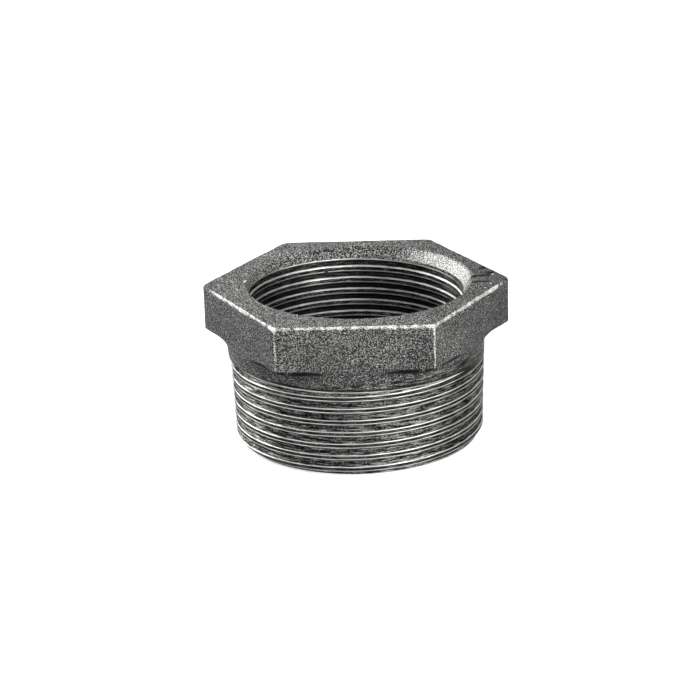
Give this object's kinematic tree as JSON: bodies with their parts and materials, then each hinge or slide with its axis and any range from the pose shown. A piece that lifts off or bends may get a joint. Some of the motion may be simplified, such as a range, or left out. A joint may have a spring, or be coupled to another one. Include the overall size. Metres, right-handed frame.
{
  "type": "hexagon reducing bushing",
  "caption": "One-piece cast iron pipe reducer: a hexagon head over a short shank with a conical outside pipe thread, and a smaller parallel inside pipe thread down its bore.",
  "frame": {"origin": "centre of the shank's flat end face, which the bushing stands on", "axes": "+Z along the bore's axis, from the shank's end face up to the hexagon head; two of the hexagon's flats face -Y and +Y, and two of its corners point along -X and +X"},
  "size_m": [0.0572, 0.05, 0.0296],
  "materials": {
    "black_cast_iron": "sand cast skin with bare worn edges; the threads and the shank are turned and lightly oiled"
  },
  "bodies": {
    "root": {"hexagon_bushing": "black_cast_iron"}
  },
  "joints": []
}
